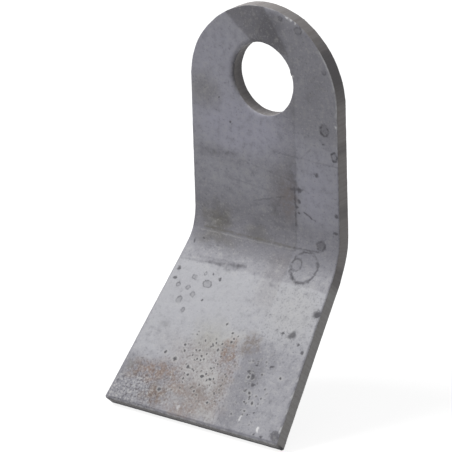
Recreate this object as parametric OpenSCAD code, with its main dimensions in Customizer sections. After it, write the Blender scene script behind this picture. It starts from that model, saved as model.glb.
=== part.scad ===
// Flail mower hammer: one bent plate of hot-rolled steel, hung on a rotor pin by the bore in its tongue.
// Frame: origin in the middle of the bore, bore axis along Y, tongue hanging down -Z, leg kicked out towards -Y.

/* [Plate] */
// Thickness of the steel plate
plate_t = 5; // [3:0.5:10]

/* [Tongue] */
// Width of the tongue between its parallel sides
tongue_w = 60; // [45:1:90]
// Distance from the bore's centre down to the start of the bend
tongue_drop = 49; // [35:1:90]

/* [Bore] */
// Diameter of the bore that takes the rotor pin
bore_d = 24.5; // [12:0.5:32]
// Wall of plate left between the bore and the top of the half-round crown
crown_wall = 12.75; // [6:0.25:24]

/* [Bend] */
// Angle that the leg is bent out of the tongue's plane
bend_angle = 42; // [20:1:60]
// Radius on the inside of the bend
bend_inner_r = 20; // [8:1:30]

/* [Leg] */
// Length of the flat part of the leg, from the end of the bend to the cutting end
leg_length = 57.5; // [40:0.5:90]
// How much wider the cutting end is than the tongue
leg_flare = 11.5; // [4:0.5:30]
// How far before the end of the bend the sides start to flare
flare_lead = 5; // [2:0.5:8]
// Radius that blends the tongue's straight sides into the flare
flare_blend_r = 60; // [20:5:120]

/* [Hidden] */
$fn = 96;

// Spare length by which cutting shapes pass through what they cut
cut_spare = 1;
crown_r = tongue_w / 2;
// Distance from the bore's centre down to the centre of the crown
crown_drop = crown_r - crown_wall - bore_d / 2;
bend_outer_r = bend_inner_r + plate_t;
// The axis that the plate is bent about, in front of the tongue, as depth and height
bend_axis = [-plate_t / 2 - bend_inner_r, -tongue_drop];
// Height of the tongue above the start of the bend, to the top of the crown
tongue_h = tongue_drop - crown_drop + crown_r;
leg_end_w = tongue_w + leg_flare;
flare_angle = atan(leg_flare / 2 / (leg_length + flare_lead));
// Distance from the flare's corner to each end of the arc that blends it
blend_reach = flare_blend_r * tan(flare_angle / 2);
// The plain strip is wider than the finished plate, which is trimmed out of it
strip_w = leg_end_w + 2 * cut_spare;

// Side view of a bent block: tongue part, round part and leg part. It reaches from the bend axis back by depth
// and forward by front, and its two ends pass those of the plate by over.
module bent_block(depth, front, over) {
    translate(bend_axis) {
        translate([-front, 0])
            square([front + depth, tongue_h + over]);
        circle(r = depth);
        rotate(-bend_angle)
            translate([-front, -leg_length - over])
                square([front + depth, leg_length + over]);
    }
}

// Side view of the bent plate: what lies between its outer and its inner face.
module plate_section() {
    difference() {
        bent_block(bend_outer_r, 0, 0);
        bent_block(bend_inner_r, bend_outer_r + cut_spare, cut_spare);
    }
}

module bent_strip() {
    rotate([90, 0, 90])
        linear_extrude(height = strip_w, center = true)
            plate_section();
}

// Half of the plate's outline in the leg's plane, X across and Y up from the end of the bend:
// straight sides down to the flare, then an arc that blends them into it.
module flared_half() {
    side = tongue_w / 2;
    rise = tongue_h + bend_outer_r;
    blend_start = flare_lead + blend_reach;
    blend_end = [side + blend_reach * sin(flare_angle), flare_lead - blend_reach * cos(flare_angle)];
    difference() {
        polygon([
            [0, rise],
            [side, rise],
            [side, blend_start],
            blend_end,
            [leg_end_w / 2, -leg_length],
            [0, -leg_length],
        ]);
        translate([side + flare_blend_r, blend_start])
            circle(r = flare_blend_r);
    }
}

// Trims the sides of the tongue, the bend and the leg, square to the leg.
module side_trim() {
    reach = tongue_h + bend_outer_r;
    translate([0, bend_axis.x, bend_axis.y])
        rotate([90 - bend_angle, 0, 0])
            linear_extrude(height = 2 * reach, center = true) {
                flared_half();
                mirror([1, 0])
                    flared_half();
            }
}

// Trims the tongue's upper end to a half-round crown, and leaves everything below the crown's centre.
module crown_trim() {
    reach = tongue_h + bend_outer_r + leg_length;
    translate([0, 0, -crown_drop])
        rotate([90, 0, 0])
            linear_extrude(height = 2 * reach, center = true) {
                circle(r = crown_r);
                translate([-strip_w / 2, -2 * reach])
                    square([strip_w, 2 * reach]);
            }
}

module bore() {
    rotate([90, 0, 0])
        cylinder(h = plate_t + 2 * cut_spare, d = bore_d, center = true);
}

module hammer_plate() {
    color([0.42, 0.42, 0.44])
        difference() {
            intersection() {
                bent_strip();
                side_trim();
                crown_trim();
            }
            bore();
        }
}

hammer_plate();
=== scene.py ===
"""Dresses the bent plate of a flail mower hammer: worn hot-rolled steel on a plain white stage."""

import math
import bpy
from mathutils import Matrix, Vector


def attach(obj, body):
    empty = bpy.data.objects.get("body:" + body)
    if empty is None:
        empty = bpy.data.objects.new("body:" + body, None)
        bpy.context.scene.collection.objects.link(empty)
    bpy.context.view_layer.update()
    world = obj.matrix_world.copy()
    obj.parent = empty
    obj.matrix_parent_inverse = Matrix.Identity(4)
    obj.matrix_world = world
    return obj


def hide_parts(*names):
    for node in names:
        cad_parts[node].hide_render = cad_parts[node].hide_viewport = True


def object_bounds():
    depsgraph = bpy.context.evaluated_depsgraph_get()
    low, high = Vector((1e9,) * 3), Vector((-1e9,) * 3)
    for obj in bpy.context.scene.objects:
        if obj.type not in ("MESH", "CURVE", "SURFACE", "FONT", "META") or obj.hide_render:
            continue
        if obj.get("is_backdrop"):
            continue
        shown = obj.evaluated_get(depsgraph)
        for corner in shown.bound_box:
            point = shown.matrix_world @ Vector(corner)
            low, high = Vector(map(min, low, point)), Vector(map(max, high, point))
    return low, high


bl_info = {
    "name": "Flail mower hammer",
    "version": (1, 0, 0),
    "blender": (4, 5, 0),
    "location": "3D View > Sidebar > Hammer",
    "description": "Builds the worn steel plate of a flail mower hammer and its stage",
    "category": "Object",
}

import bmesh
import bpy
import numpy as np
from mathutils import Matrix, Vector

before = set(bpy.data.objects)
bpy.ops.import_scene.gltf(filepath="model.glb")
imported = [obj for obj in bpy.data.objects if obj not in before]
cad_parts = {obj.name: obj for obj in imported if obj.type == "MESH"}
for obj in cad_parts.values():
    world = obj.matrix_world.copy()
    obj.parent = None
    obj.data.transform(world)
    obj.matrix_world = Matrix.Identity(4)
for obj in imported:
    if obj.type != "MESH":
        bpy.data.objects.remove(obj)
cad_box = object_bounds()

# Sizes that the plate has from its construction, in metres
HALF_PLATE = 0.0025
BEND_START = 0.049
BEND_RADIUS = 0.0225
BEND_ANGLE = math.radians(42)
LEG_LENGTH = 0.0575
LEG_HALF_END = 0.03575
BORE_RADIUS = 0.01225
CROWN_RADIUS = 0.03
CROWN_HEIGHT = -0.005
BEND_ARC = BEND_RADIUS * BEND_ANGLE
PLATE_END = BEND_START + BEND_ARC + LEG_LENGTH
MM = 1000

# How finely the plate is meshed, in metres, steps and shares
DOUBLES = 0.000002
SLIVER = 0.0003
NEAR_CORNER = 0.0001
NEAR_CURVE = 0.00006
FLAT_ANGLE = math.radians(0.5)
FACES_FRONT_OR_BACK = 0.5
MOST_CELL_SIDES = 4
CORNER_STEPS = 3
COLUMNS_EACH_SIDE = 5
CELL_LEVELS = 3
RIM_ANGLE = math.radians(45)
RIM_SHARE = 0.8
RIM_LENGTH_SHARE = 2
RIM_STEPS = 2
SMOOTH_ANGLE = math.radians(50)
WEIGHT_STEPS = 20

# Where the rims are worn, from none to all: shares of a radius, or degrees round the crown from its right
ROLLED_SIDE = (0.5, -0.3)
BLUNT_FROM = (40, 60)
BLUNT_TO = (95, 80)
WORN_FROM = (95, 118)
WORN_TO = (158, 135)
WORN_NEAR_EDGE = (0.8, 1.0)

# Grain of the dents, in metres, and how far the cut lines are drawn out through the plate
WAVE_GRAIN = 0.016
CUT_LINE_GRAIN = 0.0012
NICK_GRAIN = 0.0025
CUT_LINE_STRETCH = 12

# How far the surface faces through the plate, -1 in front and 1 behind, where each part has none and all
FRONT_FACING = (-0.5, -0.85)
BACK_FACING = (0.5, 0.85)
SIDE_FACING = (0.8, 0.4)
EDGE_RISE = (0.2, 0.5)
EDGE_FALL = (0.98, 0.85)
DENTED_SIDE = (0.8, 0.3)
DENTED_EDGE_RISE = (0.05, 0.4)
DENTED_EDGE_FALL = (0.99, 0.85)

# Wobbles that make outlines ragged: grain to the millimetre, reach in millimetres
WOBBLES = {"fine": (0.9, 1.2), "ragged": (0.5, 2.2), "wide": (0.25, 1.6), "broad": (0.2, 8.0)}
WOBBLE_DETAIL = 4.0

# Cloudy patterns: how the flat place is drawn out, grain to the millimetre, detail, roughness
PATTERNS = {
    "clouds": (None, 0.1, 4.0, 0.5),
    "patchy": (None, 0.4, 4.0, 0.6),
    "grains": (None, 1.3, 3.0, 0.65),
    "breaks": (None, 0.55, 2.0, 0.5),
    "smears": ((0.5, 1, 0), 0.35, 5.0, 0.65),
    "lines": ((1, 1, 0.06), 1.1, 2.0, 0.6),
}

# Values of a pattern between which marks go from none to all, and their shares there if not 0 and 1
BROKEN_LINES = (0.3, 0.6, 0.3, 1.0)
CUT_LINES = (0.6, 0.35)
CHOSEN_PITS = (0.47, 0.56)
PATCHY_RUST = (0.38, 0.58, 0.2, 1.0)
PATCHY_TONES = (0.3, 0.65, 0.7, 1.0)
PATCHY_SMUDGES = (0.38, 0.58)
PATCHY_EDGES = (0.4, 0.6)

# Outlines of small marks, from all to none, in shares of the radius
SPOT_EDGE = (0.45, 1.25, 1.0, 0.0)
RING_INSIDE = (0.7, 1.1, 1.0, 0.0)
PIT_EDGE = (0.45, 1.25, 0.85, 0.0)
PIT_BLOOM = (1.0, 2.4, 0.4, 0.0)

# Strength of the dark spots, and the half width in millimetres up to which a ring has a fine outline
SPOT_STRENGTH = 0.75
SMALL_RING = 4

# Small scattered pits: grain to the millimetre, distances from none to all, strengths
SMALL_PIT_GRAIN = 0.5
SMALL_PIT_EDGE = (0.26, 0.14)
SMALL_PIT_BLOOM = (0.5, 0.25)
SMALL_PIT_STRENGTH = 0.7
SMALL_BLOOM_STRENGTH = 0.3

# Brightness of dark and of pale steel and the roughness of each, and the height of the grain in metres
ROUGHNESS = (0.08, 0.36, 0.7, 0.42)
GRAIN_HEIGHT = 0.0001
GRAIN_STRENGTH = 0.4

# Marks on the front of the plate, laid out flat: across from the middle, down from the bore, in millimetres

# Tone areas with straight sides: tint, strength, low and high corner, fades at the low and the high sides
TONE_AREAS = (
    ("shade", 0.75, (3, -30), (40, 17), (3, 1), (1, 9)),
    ("shade", 0.75, (8, -9), (12.8, 20), (4, 4), (0.6, 4)),
    ("shade", 0.85, (2, 8), (12.8, 58), (9, 12), (0.6, 1)),
    # The next five bands are painted shade across the bend, below the tongue; above the crease they are
    # also darker scale and stain.
    ("shade", 0.85, (-34, 43), (12.8, 57.6), (1, 13), (0.7, 0.5)),
    ("shade", 0.5, (12.8, 46), (40, 57.4), (0.7, 8), (1, 0.8)),
    ("shade", 0.7, (-27, 57.6), (12, 65), (6, 0.5), (1, 7)),
    ("shade", 0.3, (-27, 62), (12, 69.4), (6, 3), (1, 1.6)),
    ("shade", 0.3, (12, 57.4), (40, 69.6), (1, 0.5), (1, 0.6)),
    ("pale_steel", 1.0, (12, 69.6), (40, 90), (1, 0.6), (1, 10)),
    ("pale_steel", 0.9, (-40, 70), (0, 106), (1, 3), (14, 9)),
    ("pale_steel", 0.8, (-8, 70), (12, 94), (8, 2), (1.5, 8)),
    ("brown", 0.2, (4, 60), (11.8, 80), (6, 6), (0.8, 5)),
    ("violet", 0.6, (9.6, 92), (18, 122), (0.9, 10), (7, 6)),
    ("violet", 0.06, (15, 88), (40, 119), (7, 8), (1, 8)),
    ("violet", 0.55, (-40, 106), (-14, 126), (1, 9), (12, 1)),
    ("brown", 0.05, (-14, 108), (9.6, 126), (9, 9), (1.2, 1)),
)

# Soft patches: tint, strength, across, down, half width, half height, turn in degrees, share that fades
SOFT_PATCHES = (
    ("lilac", 0.45, -18, -3, 13, 13, 0, 0.6),
    ("lilac", 0.9, -9, 18, 19, 9, 0, 0.6),
    ("olive", 0.42, -24.5, 9, 5.5, 6, 0, 0.7),
    ("shade", 0.35, -18, 29.5, 8, 2.4, 0, 0.7),
    ("lilac", 0.6, 21, 34, 8, 12, 0, 0.7),
    ("olive", 0.8, -20, 53, 5, 5, 0, 0.7),
    ("olive", 0.4, -3.5, 55.5, 5, 3, 0, 0.7),
    ("olive", 0.45, -19, 60, 8, 2, 0, 0.7),
    ("brown", 0.2, 7, 38, 5, 8, 0, 0.8),
    ("stain", 0.55, 3, -18.5, 4.5, 5.5, -30, 0.7),
    ("stain", 0.4, 8, -13.5, 3, 2, 0, 0.7),
    ("pale_dust", 0.3, -22.5, 54, 1.1, 1.2, 0, 0.5),
    ("pale_dust", 0.25, -15.5, 54.5, 1, 1.1, 0, 0.5),
    ("sand", 0.6, -5, 94, 7, 5, -25, 0.8),
    ("brown", 0.2, -12, 101, 12, 4, -20, 0.8),
    ("pale_dust", 0.5, -2, 113, 10, 7, 0, 0.8),
    ("rust", 0.34, 0, 116, 9, 4.5, -10, 0.7),
    ("rust", 0.24, -4, 106, 11, 8, -30, 0.8),
    ("pale_dust", 0.6, 0, 107.5, 6, 3, 0, 0.7),
    ("pale_dust", 0.55, 3.5, 92.3, 3.4, 3, 0, 0.6),
    ("pale_dust", 0.5, -6, 102.5, 5, 3, 0, 0.7),
    ("pale_dust", 0.4, 20, 79, 8, 8, 0, 0.8),
    ("pale_dust", 0.65, 4, 119, 4.5, 2, -12, 0.7),
    ("stain", 0.75, 33, 120.8, 2.4, 2, 30, 0.3),
)

# Rust that the grain of the steel shows through: as the soft patches
RUST_PATCHES = (
    ("brown", 0.8, 10.2, 93, 3.4, 4, 0, 0.5),
    ("rust", 1.0, 3.5, 97.5, 3.4, 4.2, 0, 0.6),
    ("rust", 0.5, 3.5, 97.5, 2.6, 3.2, 0, 0.6),
    ("rust", 0.35, 6.5, 105, 2.6, 8, 0, 0.6),
    ("rust", 1.0, -21, 109.5, 9, 3.4, 8, 0.6),
    ("brown", 1.0, -17, 117, 4.8, 3, 0, 0.7),
    ("rust", 0.5, -17, 117, 4.2, 2.6, 0, 0.7),
    ("rust", 0.7, -11, 112.5, 4, 2, -20, 0.7),
    ("rust", 0.3, 1, 115, 9, 2.6, -12, 0.7),
    ("rust", 0.6, -5, 119.8, 6, 2.2, 8, 0.7),
)

# Smudges that are thicker in some places than in others: as the soft patches
SMUDGES = (
    ("stain", 0.5, 11, 33, 1.8, 7, 0, 0.7),
    ("stain", 0.18, 5.5, 35.5, 3, 4, 0, 0.8),
    ("violet", 0.6, 9.5, 39.5, 3, 6, 0, 0.8),
    ("brown", 0.5, 9.5, 39.5, 3, 6, 0, 0.8),
    ("stain", 0.4, 4, 44, 2.5, 3, 30, 0.8),
    ("stain", 0.6, -8.3, 68.8, 3.2, 1, 24, 0.7),
    ("stain", 0.4, -22, 29.4, 4, 1, 0, 0.7),
    ("stain", 0.4, -15, 28.6, 3, 0.8, 0, 0.7),
    ("stain", 0.12, 15, -19, 2.2, 1.8, 0, 0.6),
    ("stain", 0.2, 22, -3, 4, 3, 20, 0.8),
    ("stain", 0.3, 19, 3, 3, 2, 0, 0.8),
    ("stain", 0.3, -25, 93, 2, 1.6, 0, 0.7),
    ("stain", 0.4, 17, 102, 3, 4, 0, 0.8),
    ("stain", 0.4, 21.5, 97, 1.4, 3, 20, 0.8),
    ("olive", 0.3, -31, 110, 3.5, 2.5, 0, 0.8),
    ("brown", 0.5, -2, 112.5, 4, 2, 0, 0.8),
    ("brown", 0.45, 5.5, 110, 2, 4, 0, 0.8),
)

# Bright flecks and nicks: as the soft patches
FLECKS = (
    ("bare_and_glint", 0.9, 10.2, -22.7, 0.6, 0.22, -25, 0.5),
    ("bare_and_glint", 0.9, 11.8, -22.2, 0.45, 0.22, -25, 0.5),
    ("bare_and_glint", 0.8, 13.4, -21.6, 0.4, 0.22, -30, 0.5),
    ("bare_and_glint", 0.6, 29.3, 10.9, 0.4, 0.5, 0, 0.5),
    ("bare_and_glint", 1.0, 26.3, 119.4, 0.45, 1.0, 10, 0.5),
    ("bare_and_glint", 0.6, 18.1, 117.4, 0.3, 1.1, -10, 0.6),
    ("bare_and_glint", 0.8, 34.7, 117.4, 0.35, 1.2, 0, 0.5),
    ("bare_and_glint", 0.6, 33.7, 105.5, 0.4, 1.6, 0, 0.6),
    ("bare_and_glint", 0.5, 34.1, 111.5, 0.35, 1.2, 0, 0.6),
    ("bare_and_glint", 0.5, 33.2, 100, 0.3, 0.9, 0, 0.6),
    ("bare_and_glint", 0.4, -6.4, 119.5, 0.45, 0.8, 0, 0.6),
)

# Speckled areas: tint, strength, pattern, values of it that show none and all, corners and fades as above
SPECKLED_AREAS = (
    ("stain", 0.16, "smears", 0.5, 0.34, (-40, 26), (13, 58), (1, 10), (1, 2)),
    ("pale_dust", 0.14, "smears", 0.52, 0.68, (-40, 26), (13, 58), (1, 10), (1, 2)),
    ("pale_dust", 0.6, "grains", 0.52, 0.62, (-60, 111), (-19, 200), (1, 7), (9, 1)),
    ("stain", 0.4, "grains", 0.47, 0.37, (-60, 111), (-19, 200), (1, 7), (9, 1)),
    ("rust", 0.18, "grains", 0.54, 0.4, (-16, 97), (9, 122), (9, 7), (1.5, 2)),
    ("pale_dust", 0.4, "grains", 0.53, 0.66, (-16, 97), (9, 122), (9, 7), (1.5, 2)),
    ("stain", 0.16, "grains", 0.48, 0.38, (12, 70), (40, 92), (1, 1), (1, 8)),
    ("umber", 0.32, "grains", 0.48, 0.36, (-29, 105), (-12, 121), (5, 4), (5, 4)),
    ("umber", 0.22, "grains", 0.48, 0.36, (-2, 94), (9, 116), (4, 5), (1.5, 6)),
)

# Mottling all over the plate: tint, strength, pattern, values of it that show none and all
MOTTLING = (
    ("stain", 0.08, "clouds", 0.7, 0.3),
    ("stain", 0.2, "patchy", 0.5, 0.3),
    ("pale_dust", 0.26, "patchy", 0.5, 0.7),
    ("stain", 0.42, "grains", 0.45, 0.25),
    ("pale_dust", 0.5, "grains", 0.55, 0.75),
)

# A pale wash on the leg's upper left: strength, corners and fades as the tone areas
PALE_WASH_STRENGTH = 0.35
PALE_WASH = ((-32, 71), (0, 93), (2, 4), (8, 8))

# The dark wedge on the crown: a point on each of its straight edges, and the direction out of it there
WEDGE_STRENGTH = 0.8
CROWN_WEDGE = {
    "First point": (1.5, -24.5, 0), "First outward": (0.84, -0.55, 0),
    "Second point": (-10, -16.5, 0), "Second outward": (-0.62, 0.78, 0),
    "Third point": (0, -10, 0), "Third outward": (0, 1, 0),
    "Fade": 0.7,
}

# The cut sides: the paler leg, the lines of the cut, and the bore and end that darken towards the back; on
# the end this is painted shadow along its lowest edge
LEG_SIDE_STRENGTH = 0.8
LEG_SIDE = ((20, 66), (60, 200), (1, 8), (1, 1))
CUT_LINE_STRENGTH = 0.2
DEEP_IN = (-2.6, 1.0)
BORE_REACH = 20
BORE_TINTS = (("oxide_and_shade", 0.3), ("stain", 0.45))
END_DEPTH = 0.9
END_FACE = ((-60, PLATE_END * MM - END_DEPTH), (60, 200), (1, 0.4), (1, 1))
# The end's dark tint, then painted shadow that darkens it towards its lowest, back edge
END_TINT_AND_SHADOW = (("oxide_and_shade", 0.3), ("stain", 0.8))

# The edges: bare metal where worn, dark oxide with painted shade on the bore's rolled left rim, and a
# painted glint, a highlight, along the crown's right
BARE_EDGE = 0.3
# Dark oxide with painted shade on the bore's rolled left rim
BORE_EDGE = (("oxide_and_shade", 0.8, -12.4, -1, 2.2, 9, 0, 0.4),)
# The glint is a highlight painted along the crown's right rim in the bare-metal tint
GLINT_STRENGTH = 0.5
GLINT_RADIUS = 29.7
GLINT_LINE = 0.55
GLINT_ACROSS = (20.0, 26.0)
GLINT_DOWN = (9.0, 4.0)

# Ring stains: strength, across, down, half width, half height, width of the line, share of it inside
RING_STAINS = (
    (0.6, 7.7, -22.2, 0.7, 0.6, 0.6, 0.45),
    (0.6, 14.8, -19.2, 1.3, 1.1, 0.6, 0.22),
    (0.6, 25.0, -7.0, 0.7, 0.7, 0.6, 0.5),
    (0.95, 24.6, 12.9, 1.5, 1.7, 0.9, 0.35),
    (0.95, 28.4, 21.3, 1.1, 1.3, 0.7, 0.2),
    (0.9, 22.6, 53.6, 1.5, 1.5, 1.0, 0.6),
    (0.7, 17.9, 62.8, 5.2, 5.8, 0.8, 0.08),
    (0.6, 14.8, 62.5, 1.8, 2.4, 0.6, 0.12),
    (0.75, 30.0, 77.6, 1.1, 1.1, 1.2, 0.85),
    (0.58, -15.6, 76.6, 1.6, 1.2, 0.5, 0.4),
    (0.58, -21.4, 75.4, 1.0, 0.8, 0.5, 0.4),
    (0.58, -22.3, 79.4, 0.7, 0.7, 0.45, 0.35),
    (0.58, -19.4, 81.3, 0.8, 0.8, 0.5, 0.45),
    (0.58, -23.7, 84.2, 0.9, 1.1, 0.5, 0.45),
    (0.58, -26.5, 79.3, 0.7, 0.7, 0.45, 0.35),
    (0.58, -17.9, 73.4, 0.6, 0.6, 0.3, 0.3),
    (0.58, -20.6, 87.2, 0.6, 0.8, 0.4, 0.55),
)

# Dark spots: across, down, radius
DARK_SPOTS = (
    (20.9, 29.0, 1.0), (13.9, 35.4, 1.1), (13.6, 39.4, 0.9), (13.6, 43.4, 0.6), (12.6, 41.5, 0.7),
    (28.9, 41.4, 0.9), (28.2, 47.6, 0.8), (24.2, 86.2, 1.7), (20.6, 86.4, 0.7), (30.3, 90.7, 0.8),
    (30.0, 77.6, 1.1), (-28.9, 73.8, 0.9), (-28.9, 77.1, 0.8), (-14.8, 82.5, 0.5), (-14.8, 72.6, 0.5),
    (-11.6, 74.0, 0.5), (-24.2, 61.2, 0.6), (-27.5, 63.0, 0.5), (-18.5, 9.7, 0.5), (-14.0, 17.2, 0.5),
    (24.0, 17.9, 0.5), (17.8, 105.5, 0.9), (21.8, 98.0, 0.6), (27.9, 88.8, 0.5), (14.0, 101.5, 0.7),
    (16.2, 103.0, 0.7), (15.8, 99.0, 0.5), (22.4, 114.5, 0.5), (20.2, 115.5, 0.4), (25.5, 121.2, 0.5),
    (28.8, 121.5, 0.5),
)

# Pits: across, down, radius
PITS = (
    (-1.6, 88.0, 0.5), (1.9, 90.6, 0.5), (2.8, 93.5, 0.6), (-0.9, 97.4, 0.6), (-6.0, 100.9, 0.5),
    (-13.9, 98.5, 0.5), (-15.5, 103.9, 0.8), (-20.1, 102.6, 0.6), (-9.2, 105.4, 0.7), (-2.6, 107.3, 0.7),
    (0.8, 107.6, 0.6), (-8.0, 108.1, 0.5), (-3.1, 112.8, 0.5), (-16.4, 115.3, 0.7), (3.6, 115.3, 0.5),
    (14.7, 103.5, 0.6), (17.6, 108.5, 0.6), (20.1, 111.4, 0.6), (26.6, 101.1, 0.6), (3.3, 92.4, 0.45),
    (4.5, 91.2, 0.4), (-2.6, 95.4, 0.45), (-0.2, 95.0, 0.4), (-5.7, 102.1, 0.45), (-4.4, 99.5, 0.4),
    (-7.2, 102.1, 0.4), (-9.5, 101.3, 0.4), (-1.4, 106.2, 0.45), (-0.1, 108.2, 0.45), (2.2, 107.0, 0.4),
    (-13.2, 100.4, 0.5),
)

# Streaks: tint, strength, from, to, half width
STREAKS = (
    # The pale lines along the crease are the punch's mark, painted pale as its highlight
    ("pale_dust", 0.5, (-26, 58.2), (-10, 57.9), 0.5),
    ("pale_dust", 0.3, (-10, 57.9), (12, 57.4), 0.45),
    ("olive", 0.5, (-25, 56.8), (12, 56.6), 0.8),
    ("stain", 0.25, (-31, 70), (-12, 69.3), 0.7),
    ("stain", 0.4, (-20, 69.4), (-4, 67.8), 0.9),
    ("stain", 0.15, (-24, 67.9), (-9, 67.6), 0.8),
    ("stain", 0.8, (15.5, 43), (20, 45), 0.5),
    ("stain", 0.16, (12.3, -14), (12.4, 57), 1.2),
    ("stain", 0.3, (3.5, 24.2), (29, 24.6), 0.6),
    ("stain", 0.3, (14.5, 24.5), (19, 20.5), 0.45),
    ("stain", 0.35, (-5, 43), (8, 39), 0.5),
    ("stain", 0.3, (3, 46), (6, 40), 0.6),
    ("stain", 0.15, (-30, 28.8), (-12, 28.4), 1.0),
    ("stain", 0.7, (11.9, 35), (12.2, 48.5), 0.6),
    ("stain", 0.6, (10.5, 35.8), (15.2, 35.2), 0.8),
    ("stain", 0.3, (-29.6, 22), (-29.6, 58), 0.9),
    # A highlight painted along the tongue's right edge, below the crown's glint
    ("bare_and_glint", 0.4, (29.6, 4), (29.65, 24), 0.4),
    ("stain", 0.2, (-12, 29.5), (12, 33), 0.5),
    ("stain", 0.25, (-16, 37), (3, 38.3), 0.6),
    ("stain", 0.6, (12, 56.6), (22, 56), 0.6),
    ("stain", 0.7, (13, 65.5), (17, 68.6), 0.9),
)

# Areas of small scattered pits: low corner, high corner, fade all round
PITTED_AREAS = (
    ((-14, 92), (8, 116), 8),
    ((13, 96), (24, 119), 5),
)

# Stains on the cut sides: as the soft patches
SIDE_STAINS = (
    ("oxide_and_shade", 0.75, 29, -10, 7, 12, 0, 0.6),
    ("oxide_and_shade", 0.2, 12, -22.5, 8, 5, 0, 0.6),
    ("oxide_and_shade", 0.35, 30, 19, 2, 1.8, 0, 0.6),
    ("oxide_and_shade", 0.35, 30, 40, 2, 2, 0, 0.6),
    ("oxide_and_shade", 0.4, 30.5, 63, 3, 3, 0, 0.6),
    ("oxide_and_shade", 0.5, -29, -12, 6, 10, 0, 0.6),
    ("oxide_and_shade", 0.5, -30, 33, 2, 4, 0, 0.6),
    ("oxide_and_shade", 0.5, -33, 96, 3, 6, 0, 0.6),
)

# Patches of the back: as the soft patches
BACK_PATCHES = (
    ("shade", 0.9, -14, 40, 22, 16, 10, 0.7),
    ("lilac", 0.8, 12, 10, 14, 20, 0, 0.7),
    ("olive", 0.5, 16, 52, 8, 6, 0, 0.8),
    ("pale_steel", 0.6, -8, 84, 22, 12, 0, 0.8),
    ("violet", 0.8, 16, 108, 18, 14, 0, 0.7),
    ("brown", 0.6, -18, 112, 12, 8, 8, 0.8),
    ("rust", 0.6, -22, 98, 6, 4, 0, 0.8),
    ("stain", 0.4, 4, 70, 9, 2.5, 20, 0.8),
    ("stain", 0.35, -20, -8, 4, 8, 0, 0.8),
)


def size_setting(name, description, default, least):
    """A length that a user can change."""
    return bpy.props.FloatProperty(
        name=name, description=description, default=default, min=least, subtype="DISTANCE", unit="LENGTH")


def colour_setting(name, description, default):
    """A colour that a user can change."""
    return bpy.props.FloatVectorProperty(
        name=name, description=description, default=default, size=3, min=0, max=1, subtype="COLOR")


class HammerSizes(bpy.types.PropertyGroup):
    """Sizes of the wear on the plate."""

    cell: size_setting(
        "Cell", "Size of the cells that the plate is cut into before it is divided finely", 0.0058, 0.003)
    edge_round: size_setting("Edge rounding", "How far the sheared edges are broken", 0.00025, 0.0001)
    corner_round: size_setting(
        "Corner rounding", "How far the two corners of the cutting end are worn back", 0.0007, 0.0001)
    rim_reach: size_setting(
        "Rim reach", "How far in from the bore and the crown the front rims are rolled in", 0.0018, 0.0002)
    rim_depth: size_setting("Rim depth", "How deep the front rims are rolled in", 0.0006, 0)
    crown_wear: size_setting("Crown wear", "How far the upper left of the crown is worn back", 0.0004, 0)
    wave_depth: size_setting(
        "Wave depth", "Depth of the broad unevenness that rolling leaves", 0.0001, 0)
    nick_depth: size_setting("Nick depth", "Depth of the nicks along the edges", 0.00012, 0)
    cut_depth: size_setting(
        "Cut line depth", "Depth of the lines that the cut left on the plate's sides", 0.0001, 0)


class HammerColours(bpy.types.PropertyGroup):
    """Colours of the steel and of what has marked it."""

    steel: colour_setting("Steel", "Grey of the rolled faces", (0.311, 0.309, 0.35))
    lilac: colour_setting(
        "Blued steel", "Bluish grey of the thin scale on the tongue", (0.395, 0.391, 0.475))
    pale_steel: colour_setting(
        "Pale steel", "Light grey of the cleaner parts of the leg", (0.378, 0.38, 0.416))
    # The dull scale colour also paints the shade across the bend.
    shade: colour_setting("Dull scale and painted shade", "Darker grey of thick scale, and of the shade painted across the bend", (0.224, 0.22, 0.246))
    violet: colour_setting(
        "Violet scale", "Violet grey of the scale at the cutting end", (0.2, 0.195, 0.224))
    olive: colour_setting("Oil stain", "Olive brown of dried oil", (0.13, 0.12, 0.095))
    brown: colour_setting("Brown stain", "Brown of thin rust", (0.19, 0.152, 0.132))
    rust: colour_setting("Rust", "Brown of thicker rust", (0.25, 0.17, 0.136))
    umber: colour_setting("Old rust", "Dark brown of the oldest rust", (0.12, 0.078, 0.058))
    sand: colour_setting("Yellowed steel", "Yellowish grey beside the rust", (0.305, 0.288, 0.22))
    # The pale dust colour also paints the crease's highlight.
    pale_dust: colour_setting(
        "Pale dust", "Pale bloom round the pits, and the highlight painted along the crease's mark", (0.43, 0.424, 0.418))
    # The stain colour also paints the shadow along the cutting end's lowest edge.
    stain: colour_setting("Stain", "Dark grey of rings, spots and pits, and of the shadow painted along the cutting end's lowest edge", (0.07, 0.068, 0.078))
    # The bare metal colour also paints the glint along the crown's right rim and the tongue's right edge.
    bare_and_glint: colour_setting("Bare metal and painted glint", "Bright grey of fresh scratches and nicks, and of the glint painted along the crown's right", (0.75, 0.75, 0.76))
    cut_side: colour_setting("Cut sides", "Warm grey of the cut sides", (0.325, 0.305, 0.302))
    # The cut oxide colour also paints shade on the bore's rolled left rim.
    oxide_and_shade: colour_setting(
        "Cut oxide and painted shade", "Dark grey that the cut left on the crown and in the bore, and of the shade painted on the bore's rolled left rim", (0.12, 0.115, 0.125))


class HammerStage(bpy.types.PropertyGroup):
    """Settings of the stage."""

    key_power: bpy.props.FloatProperty(
        name="Key lamp", description="Power of the softbox above",
        default=10, min=0, subtype="POWER", unit="POWER")
    fill: bpy.props.FloatProperty(
        name="Fill", description="Strength of the light from all round", default=0.27, min=0)
    floor: colour_setting("Floor", "Colour of the floor", (0.4, 0.4, 0.4))


# Mesh helpers


def select_only(piece):
    """Selects nothing but this piece and makes it the active one."""
    bpy.ops.object.select_all(action="DESELECT")
    piece.select_set(True)
    bpy.context.view_layer.objects.active = piece


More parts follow.
